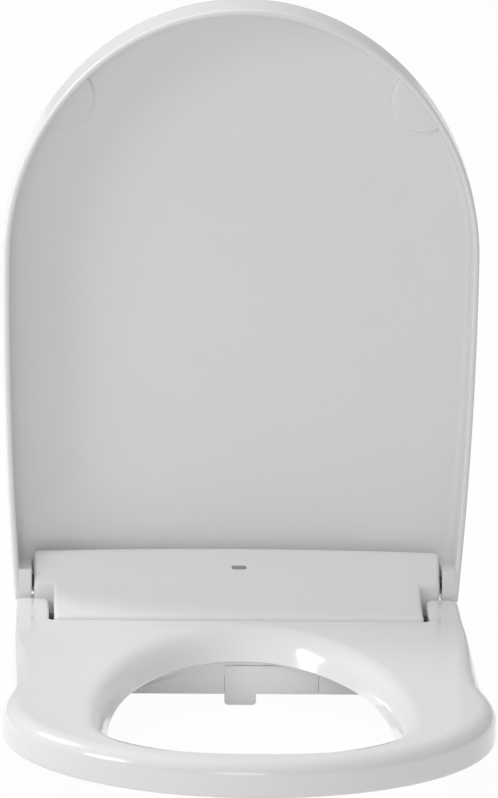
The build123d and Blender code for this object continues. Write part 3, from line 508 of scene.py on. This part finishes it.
def seatOpening(v, hole):
    # rings of the opening: a soft lip that curves as a parabola from the flat top into the sloping wall,
    # the toe below it, the under lip and the edge of the hollow
    topRing = holeRing(hole, hole["topHalf"], hole["topRear"], hole["topFront"])
    lowRing = holeRing(hole, hole["lowHalf"], hole["lowRear"], hole["lowFront"])
    skirt = v["skirt"]
    channel = holeRing(hole, hole["topHalf"] + skirt, hole["topRear"] - skirt, hole["topFront"] + skirt)
    outward = ringNormals(topRing)
    share = smoothStep(-topRing[:, 1], hole["lipFrom"], hole["lipTo"])
    lip = (hole["lipRear"] + (hole["lip"] - hole["lipRear"]) * share)[:, None]
    margin = atHeight(topRing + outward * (lip + v["margin"]), v["top"])
    flat = atHeight(topRing + outward * lip, v["top"])
    edge = atHeight(topRing, v["top"])
    toe = atHeight(lowRing, v["under"] + hole["toe"])
    under = atHeight(lowRing + outward * hole["toe"], v["under"])
    knee = edge + (toe - edge) * hole["knee"]
    t = np.linspace(0, 1, hole["scoopSteps"])[:, None, None]
    scoop = (1 - t) ** 2 * flat + 2 * t * (1 - t) * edge + t**2 * knee
    below = np.stack([toe, under, atHeight(channel, v["under"]), atHeight(channel, v["deck"])])
    return np.concatenate([margin[None], scoop, below])


def liftSeat(mesh, v):
    # the top falls a little to the front and the arms rise to the hinge: both grow with height over the deck
    points = np.empty(len(mesh.vertices) * 3, np.float32)
    mesh.vertices.foreach_get("co", points)
    points = points.reshape(-1, 3)
    ahead = -points[:, 1] / mm
    lift = v["armLift"] * smoothStep(v["liftFrom"] - ahead, 0, v["liftFrom"] - v["armRear"])
    lift -= np.maximum(ahead - v["tiltFrom"], 0) * v["tilt"]
    points[:, 2] += lift * mm * np.clip((points[:, 2] / mm - v["deck"]) / (v["top"] - v["deck"]), 0, 1)
    mesh.vertices.foreach_set("co", points.ravel())
    mesh.update()


def makeSeat(v, hole):
    # the rim and the opening, joined by the flat top and the flat roof of the hollow
    grids = [seatRim(v), seatOpening(v, hole)]
    parts = [(grid, gridFaces(*grid.shape[:2], closed=True)) for grid in grids]
    mesh = buildMesh("seatSkin", parts, flats=[v["top"], v["deck"]])
    liftSeat(mesh, v)
    return mesh


addPiece("seat_skin", makeSeat(seatValues, holeValues), "seatWhite", "seat", ["seat_shell"])

print("stage 5: housing and the other nodes")

coverValues = dict(
    low=12, front=-64, noseTop=38.5, nose=5, rise=33, run=67, power=2.7, crestAt=6.0, crestRound=6.0,
    crestEnd=30, rear=22, rearTop=56, rearFoot=20, half=146, wideHalf=161.5, stepAt=-12, edge=3.0,
    shoulder=5.0, shoulderRun=2, crown=2.5, crownFront=0.4, probe=0.1,
    noseSteps=9, topSteps=36, crestSteps=14, wallSteps=5, edgeSteps=8, acrossSteps=41, weld=1e-9,
)


def coverHeight(y, v):
    # the top rises from the nose with a power of the distance behind it, so it steepens to the rear
    share = np.clip((y - v["front"] - v["nose"]) / v["run"], 0, None)
    return v["noseTop"] + v["rise"] * share ** v["power"]


def coverSlope(y, v):
    # angle of the rising top in degrees
    climb = coverHeight(y + v["probe"], v) - coverHeight(y - v["probe"], v)
    return math.degrees(math.atan2(climb, 2 * v["probe"]))


def crownLift(x, y, z, v):
    # the top swells across: most in the middle, less at the nose, nothing at the lower edge
    swell = v["crown"] * (1 - (x / v["wideHalf"]) ** 2)
    back = v["crownFront"] + (1 - v["crownFront"]) * np.clip((y - v["front"]) / v["run"], 0, 1)
    return swell * back * np.clip((z - v["low"]) / (v["noseTop"] - v["low"]), 0, 1)


def coverOutline(v, front, bend, slope):
    # side view over the top: front wall, front arc, rising top, crest arc, rear wall
    turn = math.radians(90 + slope)
    topFrom = front + bend * (1 + math.cos(turn))
    centre = (front + bend, coverHeight(topFrom, v) - bend * math.sin(turn))
    edge = arcPoints(centre, bend, 180, 90 + slope, v["noseSteps"])
    along = np.linspace(topFrom, v["crestAt"], v["topSteps"])[1:]
    top = np.column_stack([along, coverHeight(along, v)])
    steep = coverSlope(v["crestAt"], v)
    lean = math.radians(90 + steep)
    centre = top[-1] - v["crestRound"] * np.array([math.cos(lean), math.sin(lean)])
    crest = arcPoints(centre, v["crestRound"], 90 + steep, v["crestEnd"], v["crestSteps"])
    wall = np.linspace(v["low"], edge[0, 1], v["wallSteps"] + 1)[:-1]
    return np.concatenate([
        np.column_stack([np.full(len(wall), front), wall]), edge, top, crest[1:],
        [(v["rear"], v["rearTop"]), (v["rear"], v["low"] + v["rearFoot"]), (v["rear"], v["low"])],
    ])


def carryAcross(outline, places, insets, v):
    # the side view repeated at each place along x, drawn in by its inset so the ends are rounded
    normal = inwardNormals(outline)
    points = outline[:, None, :] + normal[:, None, :] * np.asarray(insets)[None, :, None]
    x = np.broadcast_to(places, points.shape[:2])
    points[..., 1] += crownLift(x, points[..., 0], points[..., 1], v)
    return np.concatenate([x[..., None], points], axis=-1)


def makeCover(v):
    # the narrow front block over the whole width of the nose and a wider block on each side behind the step
    bend = quarterTurn(v["edgeSteps"])
    roundX, roundIn = v["edge"] * (1 - np.sin(bend)), v["edge"] * (1 - np.cos(bend))
    middle = coverOutline(v, v["front"], v["nose"], 0)
    side = coverOutline(v, v["stepAt"], v["shoulder"], coverSlope(v["stepAt"] + v["shoulderRun"], v))
    ends = v["half"] - roundX
    span = np.linspace(-ends[0], ends[0], v["acrossSteps"])
    places = np.concatenate([-ends[:0:-1], span, ends[1:]])
    insets = np.concatenate([roundIn[:0:-1], np.zeros(len(span)), roundIn[1:]])
    sidePlaces = np.concatenate([[v["half"] - v["edge"]], v["wideHalf"] - roundX])
    sideInsets = np.concatenate([[0], roundIn])
    blocks = [(middle, places, insets), (side, sidePlaces, sideInsets),
              (side, -sidePlaces[::-1], sideInsets[::-1])]
    parts, loops, offset = [], [], 0
    for outline, across, inset in blocks:
        grid = carryAcross(outline, across, inset, v)
        rows, columns = grid.shape[:2]
        order = np.arange(rows * columns).reshape(rows, columns) + offset
        parts.append((grid, gridFaces(rows, columns)))
        loops += [order[:, 0], order[:, -1], np.concatenate([order[0], order[-1][::-1]])]
        offset += rows * columns
    return buildMesh("coverSkin", parts, loops, weld=v["weld"])


# the cover wears a white raised a little as painted light against the lid's shadow
addPiece("cover_skin", makeCover(coverValues), "coverWhiteWithPaintedLight", "unit", ["housing_cover"])

# ring sizes are shares of the pill, ring lifts shares of its height over the cover
lensValues = dict(
    centreX=1.5, centreY=-2.2, length=12, width=3.4, proud=0.35, sink=0.6, points=64,
    ringSizes=(1.0, 0.96, 0.86, 0.02), ringLifts=(0.0, 0.7, 0.95, 1.0),
)


def makeLens(v, cover):
    # a pill lying on the sloping top: rings from its sunken foot to a slightly crowned middle
    turn = fullTurn(v["points"])
    radius = v["width"] / 2
    shift = (v["length"] / 2 - radius) * np.sign(np.cos(turn))
    size = np.array([1.0, *v["ringSizes"]])[:, None]
    lift = np.array([-v["sink"], *np.multiply(v["ringLifts"], v["proud"])])[:, None]
    tilt = math.radians(coverSlope(v["centreY"], cover))
    base = coverHeight(v["centreY"], cover)
    base += crownLift(v["centreX"], v["centreY"], base, cover)
    along = (shift + radius * np.cos(turn)) * size
    across = radius * np.sin(turn) * size
    y = v["centreY"] + across * math.cos(tilt) - lift * math.sin(tilt)
    z = base + across * math.sin(tilt) + lift * math.cos(tilt)
    grid = np.stack([v["centreX"] + along, y, z], axis=-1)
    rows, columns = grid.shape[:2]
    return buildMesh("statusLens", [(grid, gridFaces(rows, columns, closed=True))], endLoops(rows, columns))


lens = makeLens(lensValues, coverValues)
addPiece("status_lens", lens, "smokeLens", "unit", ["status_window"])

copyValues = dict(weld=2e-6, sharpAngle=28)


def smoothCopy(node, name, material, body, v):
    # a welded copy of a moulding with smooth rounds: flat faces keep their own normals
    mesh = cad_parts[node].data.copy()
    work = bmesh.new()
    work.from_mesh(mesh)
    bmesh.ops.remove_doubles(work, verts=work.verts, dist=v["weld"])
    work.to_mesh(mesh)
    work.free()
    piece = addPiece(name, mesh, material, body, [node], v["sharpAngle"])
    weighted = piece.modifiers.new("flat faces first", "WEIGHTED_NORMAL")
    weighted.keep_sharp = True


# the pod and flap take the raised tone that paints light into the shade under the seat
smoothCopy("nozzle_pod", "pod_skin", "podPaleWithPaintedLight", "unit", copyValues)
smoothCopy("nozzle_flap", "flap_skin", "podPaleWithPaintedLight", "flap", copyValues)
smoothCopy("base_tray", "tray_skin", "trayWhite", "unit", copyValues)

# nodes that keep their own mesh, by finish
nodeFinish = {
    "trayWhite": ["mounting_plate", "seat_pan"],
    "padRubber": ["base_pads", "seat_bumpers"],
    "pinSteel": ["cover_screws"],
    "heatFoil": ["seat_heater"],
    "nozzlePale": ["nozzle_wand", "nozzle_tip"],
    "boardGreen": ["circuit_board"],
    "inletNickel": ["water_inlet"],
    "buttonGrey": ["release_button"],
    # the hinge pins are black as painted shade in the slit between ear and housing; the other inner parts
    # are simply dark
    "blackInnerAndSlitShade": ["lid_hinge_pins", "seat_hinge_pins", "lid_dampers", "seat_dampers", "nozzle_guide",
                   "nozzle_motor", "dryer_casing", "dryer_impeller", "dryer_duct", "water_heater",
                   "solenoid_valve", "cable_gland"],
}
for finish, nodes in nodeFinish.items():
    for node in nodes:
        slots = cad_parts[node].data.materials
        slots.clear()
        slots.append(materials[finish])

print("stage 6: floor, light and camera")

floorValues = dict(height=-22.5, reach=12000, tone=(0.85, 0.85, 0.85), rough=0.9, white=0.97)


def makeFloor(v):
    # a wide flat square below the lowest tab, almost white to the camera and in reflections
    side = v["reach"]
    corners = np.array([(-side, -side), (side, -side), (side, side), (-side, side)], float)
    mesh = bpy.data.meshes.new("paleFloor")
    mesh.from_pydata((atHeight(corners, v["height"]) * mm).tolist(), [], [(0, 1, 2, 3)])
    floor = bpy.data.objects.new("pale_floor", mesh)
    bpy.context.scene.collection.objects.link(floor)
    material = bpy.data.materials.new("floorWhite")
    material.use_nodes = True
    tree = material.node_tree
    shader = tree.nodes["Principled BSDF"]
    shader.inputs["Base Color"].default_value = (*v["tone"], 1)
    shader.inputs["Roughness"].default_value = v["rough"]
    path = addNode(tree, "ShaderNodeLightPath")
    seen = addNode(tree, "ShaderNodeMath",
                   {0: path.outputs["Is Camera Ray"], 1: path.outputs["Is Glossy Ray"]}, operation="MAXIMUM")
    seen = addNode(tree, "ShaderNodeMath",
                   {0: seen.outputs[0], 1: path.outputs["Is Transmission Ray"]}, operation="MAXIMUM")
    share = addNode(tree, "ShaderNodeMath", {0: seen.outputs[0], 1: v["white"]}, operation="MULTIPLY")
    glow = addNode(tree, "ShaderNodeEmission", {"Color": (1, 1, 1, 1), "Strength": 1.0})
    mix = addNode(tree, "ShaderNodeMixShader",
                  {0: share.outputs[0], 1: shader.outputs[0], 2: glow.outputs[0]})
    tree.links.new(mix.outputs[0], tree.nodes["Material Output"].inputs[0])
    mesh.materials.append(material)


makeFloor(floorValues)

skyValues = dict(seen=1.0, level=0.43)


def makeSky(v):
    # an even white room: white to the camera, dimmer as light
    world = bpy.data.worlds.new("softRoom")
    bpy.context.scene.world = world
    world.use_nodes = True
    tree = world.node_tree
    path = addNode(tree, "ShaderNodeLightPath")
    level = addNode(tree, "ShaderNodeMapRange",
                    {"Value": path.outputs["Is Camera Ray"], "To Min": v["level"], "To Max": v["seen"]})
    backdrop = tree.nodes["Background"]
    backdrop.inputs["Color"].default_value = (1, 1, 1, 1)
    tree.links.new(level.outputs[0], backdrop.inputs["Strength"])


makeSky(skyValues)

lampValues = [
    dict(name="key_left", place=(-2600, -1400, 1500), aim=(0, -100, 150), size=1200, watts=19, glints=True),
    dict(name="top_soft", place=(-500, 150, 2600), aim=(0, -150, 0), size=1600, watts=20, glints=False),
    dict(name="rear_left", place=(-1900, 750, 1900), aim=(0, -150, 0), size=900, watts=20, glints=True),
    dict(name="front_soft", place=(-300, -4000, 900), aim=(0, -100, 150), size=1500, watts=15, glints=True),
]


def makeLamp(v):
    # a round soft lamp turned to its aim, with or without a glint of its own in glossy surfaces
    lamp = bpy.data.lights.new(v["name"], "AREA")
    lamp.shape = "DISK"
    lamp.size = v["size"] * mm
    lamp.energy = v["watts"]
    light = bpy.data.objects.new(v["name"], lamp)
    bpy.context.scene.collection.objects.link(light)
    light.visible_glossy = v["glints"]
    place, aim = Vector(v["place"]) * mm, Vector(v["aim"]) * mm
    light.location = place
    light.rotation_mode = "QUATERNION"
    light.rotation_quaternion = (aim - place).to_track_quat("-Z", "Y")


for lampValue in lampValues:
    makeLamp(lampValue)

cameraValues = dict(
    place=(-216.4, -5363.6, 1509.9), pitch=13.715, yaw=2.388, roll=-0.984, lens=314.6, sensor=36,
    farClip=100,
)


def makeCamera(v):
    # looks forward and down; roll turns the frame about the view line
    pitch, yaw, roll = (math.radians(v[k]) for k in ("pitch", "yaw", "roll"))
    forward = Vector((math.sin(yaw) * math.cos(pitch), math.cos(yaw) * math.cos(pitch), -math.sin(pitch)))
    across = Vector((math.cos(yaw), -math.sin(yaw), 0))
    down = forward.cross(across)
    right = math.cos(roll) * across + math.sin(roll) * down
    low = -math.sin(roll) * across + math.cos(roll) * down
    data = bpy.data.cameras.new("photo_view")
    data.lens, data.sensor_width = v["lens"], v["sensor"]
    data.clip_end = v["farClip"]
    camera = bpy.data.objects.new("photo_view", data)
    bpy.context.scene.collection.objects.link(camera)
    turn = Matrix((right, -low, -forward)).transposed()
    camera.matrix_world = Matrix.Translation(Vector(v["place"]) * mm) @ turn.to_4x4()
    bpy.context.scene.camera = camera


makeCamera(cameraValues)
bpy.context.scene.view_settings.view_transform = "Standard"
